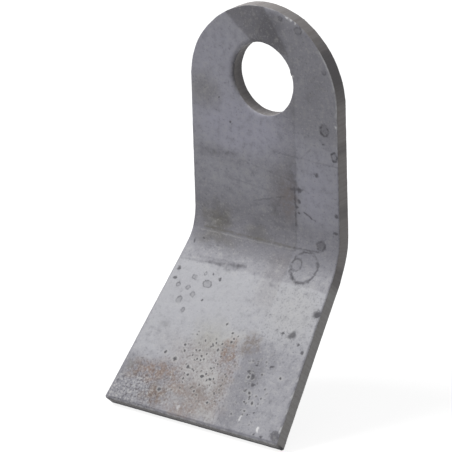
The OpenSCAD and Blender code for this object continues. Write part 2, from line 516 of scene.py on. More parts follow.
def apply_modifier(piece, kind, name, **settings):
    """Adds a modifier to the piece with these settings and applies it."""
    select_only(piece)
    modifier = piece.modifiers.new(name, kind)
    for key, value in settings.items():
        setattr(modifier, key, value)
    bpy.ops.object.modifier_apply(modifier=modifier.name)


def flat_places(points):
    """Places in the plate laid out flat, in metres: across, down from the bore, depth through the plate."""
    across, y, z = points.T
    behind_axis = y + BEND_RADIUS
    below_axis = -z - BEND_START
    turn = np.clip(np.arctan2(below_axis, behind_axis), 0, BEND_ANGLE)
    along = np.maximum(behind_axis * -math.sin(BEND_ANGLE) + below_axis * math.cos(BEND_ANGLE), 0)
    out = behind_axis * np.cos(turn) + below_axis * np.sin(turn)
    on_tongue = below_axis <= 0
    down = np.where(on_tongue, -z, BEND_START + BEND_RADIUS * turn + along)
    depth = np.where(on_tongue, y, out - BEND_RADIUS)
    return np.column_stack((across, down, depth))


def through_plate(down):
    """Directions through the plate, front to back, at these distances down it."""
    turn = np.clip((down - BEND_START) / BEND_RADIUS, 0, BEND_ANGLE)
    return np.column_stack((np.zeros_like(turn), np.cos(turn), -np.sin(turn)))


def vertex_points(mesh):
    """The mesh's vertex places as rows."""
    points = np.empty(len(mesh.vertices) * 3)
    mesh.vertices.foreach_get("co", points)
    return points.reshape(-1, 3)


def vertex_normals(mesh):
    """The mesh's vertex normals as rows."""
    normals = np.empty(len(mesh.vertices) * 3)
    mesh.vertices.foreach_get("normal", normals)
    return normals.reshape(-1, 3)


def smooth_step(low, high, values):
    """Rises smoothly from 0 at low to 1 at high, and falls where low is the larger."""
    share = np.clip((values - low) / (high - low), 0, 1)
    return share * share * (3 - 2 * share)


def weigh(piece, name, weights):
    """Makes a vertex group of the piece with these weights, in a few even steps."""
    group = piece.vertex_groups.new(name=name)
    levels = np.round(np.clip(weights, 0, 1) * WEIGHT_STEPS).astype(int)
    for level in range(1, WEIGHT_STEPS + 1):
        chosen = np.flatnonzero(levels == level)
        if len(chosen):
            group.add(chosen.tolist(), level / WEIGHT_STEPS, "REPLACE")


def dig(piece, name, grain, depth, group="", along=None, middle=0.9):
    """Presses cloudy dents into the piece where the vertex group allows it, nearly all of them inwards."""
    texture = bpy.data.textures.new(name, "CLOUDS")
    texture.noise_scale = grain
    settings = {"texture": texture, "strength": depth, "mid_level": middle, "vertex_group": group}
    settings["texture_coords"] = "OBJECT" if along else "LOCAL"
    if along:
        settings["texture_coords_object"] = along
    apply_modifier(piece, "DISPLACE", name, **settings)
    bpy.data.textures.remove(texture)


def select_edges(piece, test):
    """Selects, in edit mode, the edges whose two ends pass the test of their flat places."""
    mesh = bmesh.from_edit_mesh(piece.data)
    places = flat_places(np.array([vertex.co for vertex in mesh.verts]))
    mesh.verts.index_update()
    bpy.ops.mesh.select_all(action="DESELECT")
    for edge in mesh.edges:
        first, second = (places[vertex.index] for vertex in edge.verts)
        if test(first) and test(second):
            edge.select_set(True)
    bmesh.update_edit_mesh(piece.data)


# Steps of the worn plate


def plate_copy(name):
    """A copy of the construction's plate, with its loose triangles joined and its flat faces whole."""
    piece = bpy.data.objects.new(name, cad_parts["hammer_plate"].data.copy())
    bpy.context.scene.collection.objects.link(piece)
    piece.data.materials.clear()
    select_only(piece)
    bpy.ops.object.mode_set(mode="EDIT")
    bpy.ops.mesh.select_all(action="SELECT")
    bpy.ops.mesh.remove_doubles(threshold=DOUBLES)
    bpy.ops.mesh.dissolve_limited(angle_limit=FLAT_ANGLE)
    bpy.ops.object.mode_set(mode="OBJECT")
    return piece


def round_corners(piece, reach):
    """Rounds the two corners of the cutting end."""

    def at_corner(place):
        off_side = abs(abs(place[0]) - LEG_HALF_END)
        off_end = abs(place[1] - PLATE_END)
        return max(off_side, off_end) < NEAR_CORNER

    bpy.ops.object.mode_set(mode="EDIT")
    bpy.ops.mesh.select_mode(type="EDGE")
    select_edges(piece, at_corner)
    bpy.ops.mesh.bevel(offset=reach, segments=CORNER_STEPS, affect="EDGES")
    bpy.ops.object.mode_set(mode="OBJECT")


def split_hollow_cells(piece):
    """Splits the cells with more than four sides, and those at the bore, into triangles."""
    bpy.ops.mesh.select_mode(type="FACE")
    bpy.ops.mesh.select_all(action="DESELECT")
    mesh = bmesh.from_edit_mesh(piece.data)
    for face in mesh.faces:
        from_bore = min(math.hypot(vertex.co.x, vertex.co.z) for vertex in face.verts) - BORE_RADIUS
        flat = abs(face.normal.y) > FACES_FRONT_OR_BACK
        face.select_set(len(face.verts) > MOST_CELL_SIDES or flat and from_bore < SLIVER)
    bmesh.update_edit_mesh(piece.data)
    bpy.ops.mesh.quads_convert_to_tris(quad_method="BEAUTY", ngon_method="BEAUTY")


def slice_plate(piece, cell):
    """Cuts the faces into cells: planes across the plate, down the tongue and down the leg."""
    bend_axis = Vector((0, -BEND_RADIUS, -BEND_START))
    down_leg = Vector((0, -math.sin(BEND_ANGLE), -math.cos(BEND_ANGLE)))
    planes = []
    column = CROWN_RADIUS / COLUMNS_EACH_SIDE
    for step in range(1 - COLUMNS_EACH_SIDE, COLUMNS_EACH_SIDE):
        planes.append((Vector((step * column, 0, 0)), Vector((1, 0, 0))))
    tongue_height = BEND_START + cad_box[1][2]
    for step in range(1, math.ceil(tongue_height / cell)):
        planes.append((bend_axis + Vector((0, 0, step * cell)), Vector((0, 0, 1))))
    for step in range(1, math.ceil(LEG_LENGTH / cell)):
        planes.append((bend_axis + down_leg * (step * cell), down_leg))
    bpy.ops.object.mode_set(mode="EDIT")
    for point, normal in planes:
        bpy.ops.mesh.select_all(action="SELECT")
        bpy.ops.mesh.bisect(plane_co=point, plane_no=normal)
    bpy.ops.mesh.select_all(action="SELECT")
    bpy.ops.mesh.remove_doubles(threshold=SLIVER)
    split_hollow_cells(piece)
    bpy.ops.object.mode_set(mode="OBJECT")


def snap_curves(piece):
    """Moves the fine mesh off the construction's facets onto the true bend, crown and bore."""
    points = vertex_points(piece.data)
    places = flat_places(points)
    in_bend = (places[:, 1] > BEND_START) & (places[:, 1] < BEND_START + BEND_ARC)
    on_face = in_bend & (np.abs(np.abs(places[:, 2]) - HALF_PLATE) < NEAR_CURVE)
    out = places[on_face, 2] + BEND_RADIUS
    wanted = np.sign(places[on_face, 2]) * HALF_PLATE + BEND_RADIUS
    axis = np.array((-BEND_RADIUS, -BEND_START))
    points[on_face, 1:] = axis + (points[on_face, 1:] - axis) * (wanted / out)[:, None]
    rounds = ((CROWN_RADIUS, CROWN_HEIGHT, CROWN_HEIGHT), (BORE_RADIUS, 0, -BEND_START))
    for radius, height, lowest in rounds:
        offset = points[:, (0, 2)] - np.array((0, height))
        far = np.linalg.norm(offset, axis=1)
        on_round = (np.abs(far - radius) < NEAR_CURVE) & (points[:, 2] >= lowest)
        scaled = offset[on_round] * (radius / far[on_round])[:, None]
        points[on_round, 0] = scaled[:, 0]
        points[on_round, 2] = scaled[:, 1] + height
    piece.data.vertices.foreach_set("co", points.ravel())
    piece.data.update()


def press_rims(piece, sizes):
    """Rolls in the front rim at the bore's left and the crown's right, and wears the crown's left."""
    points = vertex_points(piece.data)
    from_bore = np.linalg.norm(points[:, (0, 2)], axis=1) - BORE_RADIUS
    on_front = smooth_step(0, -HALF_PLATE, points[:, 1]) * (points[:, 2] > -BEND_START)
    rolled = 1 - np.clip(from_bore / sizes.rim_reach, 0, 1)
    rolled_left = smooth_step(*ROLLED_SIDE, points[:, 0] / BORE_RADIUS) * rolled * rolled
    offset = points[:, (0, 2)] - np.array((0, CROWN_HEIGHT))
    far = np.linalg.norm(offset, axis=1)
    turn = np.degrees(np.arctan2(offset[:, 1], offset[:, 0]))
    blunt = 1 - np.clip((CROWN_RADIUS - far) / sizes.rim_reach, 0, 1)
    blunt_right = smooth_step(*BLUNT_FROM, turn) * smooth_step(*BLUNT_TO, turn) * blunt * blunt
    points[:, 1] += on_front * (rolled_left + blunt_right) * sizes.rim_depth
    worn = smooth_step(*WORN_FROM, turn) * smooth_step(*WORN_TO, turn)
    worn *= smooth_step(*WORN_NEAR_EDGE, far / CROWN_RADIUS)
    shrunk = offset * (1 - worn * sizes.crown_wear / CROWN_RADIUS)[:, None]
    points[:, 0] = shrunk[:, 0]
    points[:, 2] = shrunk[:, 1] + CROWN_HEIGHT
    piece.data.vertices.foreach_set("co", points.ravel())
    piece.data.update()


def weigh_rims(piece, width):
    """Gives each sharp edge as much of the rounding's width as the cells beside it leave room for."""
    bpy.ops.object.mode_set(mode="EDIT")
    mesh = bmesh.from_edit_mesh(piece.data)
    weights = mesh.edges.layers.float.new("bevel_weight_edge")
    sharp = {edge for edge in mesh.edges if edge.calc_face_angle(0) > RIM_ANGLE}
    room = {}
    for edge in sharp:
        along = (edge.verts[1].co - edge.verts[0].co).normalized()
        for vertex in edge.verts:
            for other in vertex.link_edges:
                if other not in sharp:
                    step = other.other_vert(vertex).co - vertex.co
                    free = (step - along * step.dot(along)).length * RIM_SHARE
                    free = min(free, edge.calc_length() * RIM_LENGTH_SHARE)
                    room[vertex] = min(room.get(vertex, width), free)
    for edge in sharp:
        edge[weights] = min(room[vertex] for vertex in edge.verts) / width
    bmesh.update_edit_mesh(piece.data)
    bpy.ops.object.mode_set(mode="OBJECT")


def mesh_finely(piece, sizes):
    """Cuts the plate into cells, divides them finely and breaks the edges."""
    round_corners(piece, sizes.corner_round)
    slice_plate(piece, sizes.cell)
    apply_modifier(
        piece, "SUBSURF", "fine_cells", subdivision_type="SIMPLE", levels=CELL_LEVELS,
        render_levels=CELL_LEVELS)
    snap_curves(piece)
    press_rims(piece, sizes)
    weigh_rims(piece, sizes.edge_round)
    apply_modifier(
        piece, "BEVEL", "broken_edges", width=sizes.edge_round, segments=RIM_STEPS, limit_method="WEIGHT",
        use_clamp_overlap=False)
    select_only(piece)
    bpy.ops.object.shade_smooth_by_angle(angle=SMOOTH_ANGLE)


def note_places(piece):
    """Writes each vertex's flat place, in millimetres, and which way it faces through the plate."""
    mesh = piece.data
    places = flat_places(vertex_points(mesh))
    facing = np.sum(vertex_normals(mesh) * through_plate(places[:, 1]), axis=1)
    flat = mesh.attributes.new("flat_place", "FLOAT_VECTOR", "POINT")
    flat.data.foreach_set("vector", (places * MM).astype(np.float32).ravel())
    face = mesh.attributes.new("facing", "FLOAT", "POINT")
    face.data.foreach_set("value", facing.astype(np.float32))
    return places, facing


def keep_inside(piece, before):
    """Moves what the wear has pushed out of the plain plate back to where it was."""
    points = vertex_points(piece.data)
    places = flat_places(points)
    proud = places[:, 2] - np.clip(places[:, 2], -HALF_PLATE, HALF_PLATE)
    points -= through_plate(places[:, 1]) * proud[:, None]
    points[:, 0] = np.clip(points[:, 0], -np.abs(before[:, 0]), np.abs(before[:, 0]))
    crown = np.array((0, CROWN_HEIGHT))
    was_far = np.linalg.norm(before[:, (0, 2)] - crown, axis=1)
    offset = points[:, (0, 2)] - crown
    shrink = np.minimum(1, was_far / np.linalg.norm(offset, axis=1))
    on_crown = (before[:, 2] > CROWN_HEIGHT) & (was_far > CROWN_RADIUS - HALF_PLATE)
    offset[on_crown] *= shrink[on_crown, None]
    points[:, 0] = offset[:, 0]
    points[:, 2] = offset[:, 1] + CROWN_HEIGHT
    piece.data.vertices.foreach_set("co", points.ravel())
    piece.data.update()


def wear_surface(piece, sizes, places, facing):
    """Presses rolling waves, cut lines and nicks into the plate."""
    before = vertex_points(piece.data)
    steep = np.abs(facing)
    side = smooth_step(*DENTED_SIDE, steep)
    edge = smooth_step(*DENTED_EDGE_RISE, steep) * smooth_step(*DENTED_EDGE_FALL, steep)
    on_leg = smooth_step(BEND_START, BEND_START + BEND_ARC, places[:, 1])
    weigh(piece, "upper_sides", side * (1 - on_leg))
    weigh(piece, "leg_sides", side * on_leg)
    weigh(piece, "edges", edge)
    dig(piece, "rolling_waves", WAVE_GRAIN, sizes.wave_depth, middle=1.0)
    guide = bpy.data.objects.new("cut_guide", None)
    bpy.context.scene.collection.objects.link(guide)
    guide.scale = (1, CUT_LINE_STRETCH, 1)
    bpy.context.view_layer.update()
    dig(piece, "upper_cut_lines", CUT_LINE_GRAIN, sizes.cut_depth, "upper_sides", guide)
    guide.rotation_euler = (-BEND_ANGLE, 0, 0)
    bpy.context.view_layer.update()
    dig(piece, "leg_cut_lines", CUT_LINE_GRAIN, sizes.cut_depth, "leg_sides", guide)
    bpy.data.objects.remove(guide)
    dig(piece, "nicks", NICK_GRAIN, sizes.nick_depth, "edges")
    piece.vertex_groups.clear()
    keep_inside(piece, before)


# Shader helpers

NODES_A_ROW = 12
NODE_STEP = (190, 320)
VECTOR = "NodeSocketVector"
VALUE = "NodeSocketFloat"
COLOUR = "NodeSocketColor"


class Graph:
    """Adds and links nodes in one shader tree."""

    def __init__(self, tree):
        self.tree = tree
        self.count = 0

    def node(self, kind, inputs=None, **settings):
        """A node with these settings, and with values or sockets at its inputs."""
        node = self.tree.nodes.new(kind)
        row, column = divmod(self.count, NODES_A_ROW)
        node.location = (column * NODE_STEP[0], -row * NODE_STEP[1])
        self.count += 1
        for key, value in settings.items():
            setattr(node, key, value)
        for key, value in (inputs or {}).items():
            self.feed(node.inputs[key], value)
        return node

    def feed(self, socket, value):
        """Links a socket to this one, or sets its value."""
        if isinstance(value, bpy.types.NodeSocket):
            self.tree.links.new(value, socket)
        else:
            socket.default_value = value

    def math(self, operation, first, second=0.0):
        """A plain calculation on two values."""
        return self.node("ShaderNodeMath", {0: first, 1: second}, operation=operation).outputs[0]

    def vector(self, operation, first, second):
        """A plain calculation on two vectors that gives a vector."""
        inputs = {0: first, 1: second}
        return self.node("ShaderNodeVectorMath", inputs, operation=operation).outputs["Vector"]

    def measure(self, operation, first, second=(0, 0, 0)):
        """A plain calculation on two vectors that gives a value."""
        inputs = {0: first, 1: second}
        return self.node("ShaderNodeVectorMath", inputs, operation=operation).outputs["Value"]

    def scaled(self, vector, share):
        """A vector made longer or shorter."""
        inputs = {"Vector": vector, "Scale": share}
        return self.node("ShaderNodeVectorMath", inputs, operation="SCALE").outputs["Vector"]

    def ramp(self, value, low, high, start=0.0, end=1.0):
        """Goes smoothly from start at low to end at high."""
        inputs = {"Value": value, "From Min": low, "From Max": high, "To Min": start, "To Max": end}
        node = self.node("ShaderNodeMapRange", inputs, interpolation_type="SMOOTHSTEP", clamp=False)
        return node.outputs["Result"]

    def noise(self, place, scale, detail, rough=0.5):
        """Cloudy values and colours over the surface."""
        inputs = {"Vector": place, "Scale": scale, "Detail": detail, "Roughness": rough}
        return self.node("ShaderNodeTexNoise", inputs)

    def blend(self, share, first, second, kind="MIX"):
        """Mixes two colours."""
        node = self.node("ShaderNodeMix", data_type="RGBA", blend_type=kind)
        self.feed(node.inputs["Factor"], share)
        self.feed(node.inputs["A"], colour4(first))
        self.feed(node.inputs["B"], colour4(second))
        return node.outputs["Result"]


def colour4(value):
    """A colour with its alpha, or the socket as it is."""
    if isinstance(value, bpy.types.NodeSocket):
        return value
    return (value[0], value[1], value[2], 1)


def new_group(name, inputs, outputs):
    """A shader node group with these sockets, its graph, and the ends of its sockets inside it."""
    tree = bpy.data.node_groups.new(name, "ShaderNodeTree")
    for label, kind in inputs:
        tree.interface.new_socket(label, in_out="INPUT", socket_type=kind)
    for label, kind in outputs:
        tree.interface.new_socket(label, in_out="OUTPUT", socket_type=kind)
    graph = Graph(tree)
    return tree, graph, graph.node("NodeGroupInput").outputs, graph.node("NodeGroupOutput").inputs


def wobble_group():
    """Moves places about a little, so that marks get ragged outlines."""
    tree, graph, given, result = new_group(
        "wobble", (("Place", VECTOR), ("Grain", VALUE), ("Reach", VALUE)), (("Place", VECTOR),))
    clouds = graph.noise(given["Place"], given["Grain"], WOBBLE_DETAIL)
    drift = graph.vector("SUBTRACT", clouds.outputs["Color"], (0.5, 0.5, 0.5))
    level = graph.vector("MULTIPLY", graph.scaled(drift, given["Reach"]), (1, 1, 0))
    graph.feed(result["Place"], graph.vector("ADD", given["Place"], level))
    return tree


def area_shape(graph, given):
    """A tone area with four straight sides, each with its own fade."""
    past_low = graph.vector("SUBTRACT", given["Place"], given["Low"])
    short_of_high = graph.vector("SUBTRACT", given["High"], given["Place"])
    mask = 1.0
    for gap, fade in ((past_low, "Low fade"), (short_of_high, "High fade")):
        for axis in ((1, 0, 0), (0, 1, 0)):
            half = graph.math("MULTIPLY", graph.measure("DOT_PRODUCT", given[fade], axis), 0.5)
            past = graph.measure("DOT_PRODUCT", gap, axis)
            inside = graph.ramp(past, graph.math("MULTIPLY", half, -1.0), half)
            mask = graph.math("MULTIPLY", inside, mask)
    return mask


def patch_shape(graph, given):
    """A turned oval patch whose edge fades."""
    offset = graph.vector("SUBTRACT", given["Place"], given["Centre"])
    squares = []
    for direction in ("Along", "Across"):
        share = graph.measure("DOT_PRODUCT", offset, given[direction])
        squares.append(graph.math("MULTIPLY", share, share))
    far = graph.math("SQRT", graph.math("ADD", squares[0], squares[1]))
    inner = graph.math("SUBTRACT", 1.0, given["Fade"])
    outer = graph.math("ADD", 1.0, given["Fade"])
    return graph.ramp(far, inner, outer, 1.0, 0.0)


def ring_shape(graph, given):
    """The dried edge of a drop: an uneven line round a fainter middle."""
    offset = graph.vector("SUBTRACT", given["Place"], given["Centre"])
    share = graph.vector("DIVIDE", offset, given["Reach"])
    far = graph.measure("LENGTH", share)
    off_line = graph.math("ABSOLUTE", graph.math("SUBTRACT", far, 1.0))
    off_line = graph.math("MULTIPLY", off_line, given["Radius"])
    line = graph.ramp(off_line, 0.0, given["Line"], 1.0, 0.0)
    line = graph.math("MULTIPLY", line, given["Breaks"])
    inside = graph.math("MULTIPLY", graph.ramp(far, *RING_INSIDE), given["Inside"])
    return graph.math("MAXIMUM", line, inside)


def spot_shape(graph, given):
    """A small round spot."""
    far = graph.measure("DISTANCE", given["Place"], given["Centre"])
    return graph.ramp(graph.math("DIVIDE", far, given["Radius"]), *SPOT_EDGE)


def streak_shape(graph, given):
    """A straight line from one place to another, broken here and there."""
    offset = graph.vector("SUBTRACT", given["Place"], given["From"])
    run = graph.vector("SUBTRACT", given["To"], given["From"])
    along = graph.measure("DOT_PRODUCT", offset, run)
    share = graph.math("DIVIDE", along, graph.measure("DOT_PRODUCT", run, run))
    share = graph.math("MINIMUM", graph.math("MAXIMUM", share, 0.0), 1.0)
    far = graph.measure("DISTANCE", offset, graph.scaled(run, share))
    return graph.math("MULTIPLY", graph.ramp(far, 0.0, given["Width"], 1.0, 0.0), given["Breaks"])


def wedge_shape(graph, given):
    """What lies inside three straight edges, each given by a point and a direction outwards."""
    mask = 1.0
    for side in ("First", "Second", "Third"):
        offset = graph.vector("SUBTRACT", given["Place"], given[side + " point"])
        past = graph.measure("DOT_PRODUCT", offset, given[side + " outward"])
        inside = graph.ramp(past, graph.math("MULTIPLY", given["Fade"], -1.0), given["Fade"], 1.0, 0.0)
        mask = graph.math("MULTIPLY", inside, mask)
    return mask


def mask_shape(graph, given):
    """A mask as it is."""
    return given["Mask"]


# The marks that can be laid: what shapes each, and the inputs of its own
MARK_SHAPES = {
    "area": (area_shape, (("Low", VECTOR), ("High", VECTOR), ("Low fade", VECTOR), ("High fade", VECTOR))),
    "patch": (patch_shape, (("Centre", VECTOR), ("Along", VECTOR), ("Across", VECTOR), ("Fade", VALUE))),
    "ring": (ring_shape, (("Centre", VECTOR), ("Reach", VECTOR), ("Radius", VALUE), ("Line", VALUE),
                          ("Inside", VALUE), ("Breaks", VALUE))),
    "spot": (spot_shape, (("Centre", VECTOR), ("Radius", VALUE))),
    "streak": (streak_shape, (("From", VECTOR), ("To", VECTOR), ("Width", VALUE), ("Breaks", VALUE))),
    "wedge": (wedge_shape, (("First point", VECTOR), ("First outward", VECTOR), ("Second point", VECTOR),
                            ("Second outward", VECTOR), ("Third point", VECTOR), ("Third outward", VECTOR),
                            ("Fade", VALUE))),
    "mask": (mask_shape, (("Mask", VALUE),)),
}


def mark_group(kind):
    """A node group that lays a tint over a colour in the shape of one kind of mark."""
    shape, own_inputs = MARK_SHAPES[kind]
    shared = (
        ("Colour", COLOUR), ("Tint", COLOUR), ("Strength", VALUE), ("Within", VALUE), ("Place", VECTOR))
    tree, graph, given, result = new_group("lay_" + kind, shared + own_inputs, (("Colour", COLOUR),))
    share = graph.math("MULTIPLY", shape(graph, given), given["Strength"])
    share = graph.math("MULTIPLY", share, given["Within"])
    graph.feed(result["Colour"], graph.blend(share, given["Colour"], given["Tint"]))
    return tree


def pit_group():
    """A node group that lays a pit with a pale rim over a colour."""
    tree, graph, given, result = new_group(
        "lay_pit",
        (("Colour", COLOUR), ("Tint", COLOUR), ("Rim", COLOUR), ("Within", VALUE), ("Place", VECTOR),
         ("Centre", VECTOR), ("Radius", VALUE)),
        (("Colour", COLOUR),))
    far = graph.measure("DISTANCE", given["Place"], given["Centre"])
    share = graph.math("DIVIDE", far, given["Radius"])
    rim = graph.math("MULTIPLY", graph.ramp(share, *PIT_BLOOM), given["Within"])
    dark = graph.math("MULTIPLY", graph.ramp(share, *PIT_EDGE), given["Within"])
    rimmed = graph.blend(rim, given["Colour"], given["Rim"])
    graph.feed(result["Colour"], graph.blend(dark, rimmed, given["Tint"]))
    return tree


def at(place):
    """A place on the flat plate as a vector."""
    return (place[0], place[1], 0)


class SteelPaint:
    """Lays tints over the plate's colour, one after the other."""

    def __init__(self, graph, colours):
        self.graph = graph
        self.colours = colours
        self.groups = {}
        self.colour = colours.steel

    def group(self, name, build, inputs):
        """Places a node group, which is built the first time, and gives its outputs."""
        if name not in self.groups:
            self.groups[name] = build()
        node = self.graph.node("ShaderNodeGroup", node_tree=self.groups[name])
        for key, value in inputs.items():
            self.graph.feed(node.inputs[key], value)
        return node.outputs

    def wobble(self, place, grain, reach):
        """Places moved about with this grain and reach."""
        return self.group("wobble", wobble_group, {"Place": place, "Grain": grain, "Reach": reach})["Place"]

    def lay(self, kind, tint, strength, within, place, **own):
        """Lays one mark of a kind."""
        inputs = {"Colour": colour4(self.colour), "Tint": colour4(getattr(self.colours, tint))}
        inputs.update({"Strength": strength, "Within": within, "Place": place})
        inputs.update({key.replace("_", " "): value for key, value in own.items()})
        self.colour = self.group("lay_" + kind, lambda: mark_group(kind), inputs)["Colour"]

    def area(self, tint, strength, within, place, low, high, low_fade, high_fade):
        """Lays one area with straight sides."""
        self.lay(
            "area", tint, strength, within, place, Low=at(low), High=at(high), Low_fade=at(low_fade),
            High_fade=at(high_fade))

    def pit(self, within, place, centre, radius):
        """Lays one pit."""
        inputs = {"Colour": colour4(self.colour), "Tint": colour4(self.colours.stain)}
        inputs.update({"Rim": colour4(self.colours.pale_dust), "Within": within, "Place": place})
        inputs.update({"Centre": centre, "Radius": radius})
        self.colour = self.group("lay_pit", pit_group, inputs)["Colour"]


def paint_patches(paint, patches, within, place):
    """Lays soft patches."""
    for tint, strength, across, down, half_width, half_height, turn, fade in patches:
        level = math.cos(math.radians(turn))
        rise = math.sin(math.radians(turn))
        paint.lay(
            "patch", tint, strength, within, place, Centre=(across, down, 0), Fade=fade,
            Along=(level / half_width, -rise / half_width, 0),
            Across=(rise / half_height, level / half_height, 0))


def paint_tones(paint, front, wide, broad):
    """Lays the large tone areas of the front face, with the painted shade across the bend, and the dark
    wedge on its crown.
    """
    for tint, strength, *corners_and_fades in TONE_AREAS:
        paint.area(tint, strength, front, wide, *corners_and_fades)
    paint.lay("wedge", "oxide_and_shade", WEDGE_STRENGTH, front, wide, **CROWN_WEDGE)
    paint_patches(paint, SOFT_PATCHES, front, broad)


def paint_marks(paint, front, fine, ragged, breaks):
    """Lays streaks, rings, spots and the larger pits of the front face."""
    for tint, strength, start, end, width in STREAKS:
        paint.lay(
            "streak", tint, strength, front, fine, From=at(start), To=at(end), Width=width, Breaks=breaks)
    for strength, across, down, half_width, half_height, line, inside in RING_STAINS:
        paint.lay(
            "ring", "stain", strength, front, ragged if half_width > SMALL_RING else fine,
            Centre=(across, down, 0), Reach=(half_width, half_height, 1), Radius=half_width, Line=line,
            Inside=inside, Breaks=breaks)
    for across, down, radius in DARK_SPOTS:
        paint.lay("spot", "stain", SPOT_STRENGTH, front, ragged, Centre=(across, down, 0), Radius=radius)
    for across, down, radius in PITS:
        paint.pit(front, fine, (across, down, 0), radius)


def paint_pitting(paint, within, place, pits, blooms):
    """Lays the small scattered pits and the pale bloom round them."""
    layers = (("pale_dust", SMALL_BLOOM_STRENGTH, blooms), ("stain", SMALL_PIT_STRENGTH, pits))
    for low, high, fade in PITTED_AREAS:
        for tint, strength, marks in layers:
            shown = paint.graph.math("MULTIPLY", within, marks)
            paint.area(tint, strength, shown, place, low, high, (fade, fade), (fade, fade))


def paint_sides(paint, side, place, broad, lines, depth):
    """Lays the cut sides: their warm grey, the lines of the cut, the dark bore and end with painted shadow
    along the end's lowest edge, and stains.
    """
    graph = paint.graph
    paint.lay("mask", "cut_side", 1.0, side, place, Mask=1.0)
    paint.area("pale_dust", LEG_SIDE_STRENGTH, side, broad, *LEG_SIDE)
    paint.lay("mask", "umber", CUT_LINE_STRENGTH, side, place, Mask=lines)
    deep = graph.math("MULTIPLY", side, graph.ramp(depth, *DEEP_IN))
    for (tint, strength), within in zip(BORE_TINTS, (side, deep)):
        paint.lay("spot", tint, strength, within, place, Centre=(0, 0, 0), Radius=BORE_REACH)
    # On the end, the tint towards the back is painted shadow along its lowest edge
    for (tint, strength), within in zip(END_TINT_AND_SHADOW, (side, deep)):
        paint.area(tint, strength, within, place, *END_FACE)
    paint_patches(paint, SIDE_STAINS, side, broad)


def paint_faces(paint, masks, places, patterns):
    """Lays the tones, rust, mottling and marks of the front, and the quieter ones of the back."""
    graph = paint.graph
    front = masks["front"]
    patchy = patterns["patchy"]
    rusty = graph.math("MULTIPLY", front, graph.ramp(patchy, *PATCHY_RUST))
    uneven = graph.math("MULTIPLY", front, graph.ramp(patchy, *PATCHY_TONES))
    paint_tones(paint, uneven, places["wide"], places["broad"])
    paint_patches(paint, RUST_PATCHES, rusty, places["broad"])
    paint_patches(paint, BACK_PATCHES, masks["back"], places["broad"])
    for tint, strength, pattern, none, full in MOTTLING:
        shown = graph.ramp(patterns[pattern], none, full)
        paint.lay("mask", tint, strength, 1.0, places["plain"], Mask=shown)
    paint.area("pale_steel", PALE_WASH_STRENGTH, front, places["broad"], *PALE_WASH)
    for tint, strength, pattern, none, full, *corners_and_fades in SPECKLED_AREAS:
        shown = graph.math("MULTIPLY", front, graph.ramp(patterns[pattern], none, full))
        paint.area(tint, strength, shown, places["broad"], *corners_and_fades)
    thick = graph.math("MULTIPLY", front, graph.ramp(patchy, *PATCHY_SMUDGES))
    paint_patches(paint, SMUDGES, thick, places["ragged"])
    faces = graph.math("MAXIMUM", front, masks["back"])
    paint_pitting(paint, faces, places["plain"], patterns["pits"], patterns["blooms"])
    paint_marks(paint, front, places["fine"], places["ragged"], patterns["breaks"])


def paint_edges(paint, flat, masks, places, patterns):
    """Lays the cut sides, the worn edges and the bright nicks along them, the painted shade on the bore's
    left rim and the painted glint along the crown's right.
    """
    graph = paint.graph
    plain = places["plain"]
    edge = masks["edge"]
    spread = graph.node("ShaderNodeSeparateXYZ", {"Vector": flat}).outputs
    paint_sides(paint, masks["side"], plain, places["broad"], patterns["lines"], spread["Z"])
    worn_edge = graph.math("MULTIPLY", edge, graph.ramp(patterns["patchy"], *PATCHY_EDGES))
    paint.lay("mask", "bare_and_glint", BARE_EDGE, worn_edge, plain, Mask=1.0)
    # Dark oxide with painted shade on the bore's rolled left rim
    paint_patches(paint, BORE_EDGE, edge, plain)
    # A painted glint: a highlight painted along the crown's right rim
    rim = graph.math("MAXIMUM", masks["front"], edge)
    glint = graph.math(
        "MULTIPLY", graph.ramp(spread["X"], *GLINT_ACROSS), graph.ramp(spread["Y"], *GLINT_DOWN))
    paint.lay(
        "ring", "bare_and_glint", GLINT_STRENGTH, graph.math("MULTIPLY", rim, glint), plain,
        Centre=(0, -CROWN_HEIGHT * MM, 0), Reach=(GLINT_RADIUS, GLINT_RADIUS, 1), Radius=GLINT_RADIUS,
        Line=GLINT_LINE, Inside=0.0, Breaks=patterns["breaks"])
    paint_patches(paint, FLECKS, rim, places["fine"])


def facing_masks(graph):
    """Masks of the front, the back, the cut sides and the edges, from which way the surface faces."""
    facing = graph.node("ShaderNodeAttribute", attribute_name="facing").outputs["Fac"]
    steep = graph.math("ABSOLUTE", facing)
    return {
        "front": graph.ramp(facing, *FRONT_FACING),
        "back": graph.ramp(facing, *BACK_FACING),
        "side": graph.ramp(steep, *SIDE_FACING),
        "edge": graph.math("MULTIPLY", graph.ramp(steep, *EDGE_RISE), graph.ramp(steep, *EDGE_FALL)),
    }


def wobbled_places(paint, flat):
    """The flat places without their depth, plain and moved about for ragged marks."""
    places = {"plain": paint.graph.vector("MULTIPLY", flat, (1, 1, 0))}
    for name, (grain, reach) in WOBBLES.items():
        places[name] = paint.wobble(places["plain"], grain, reach)
    return places


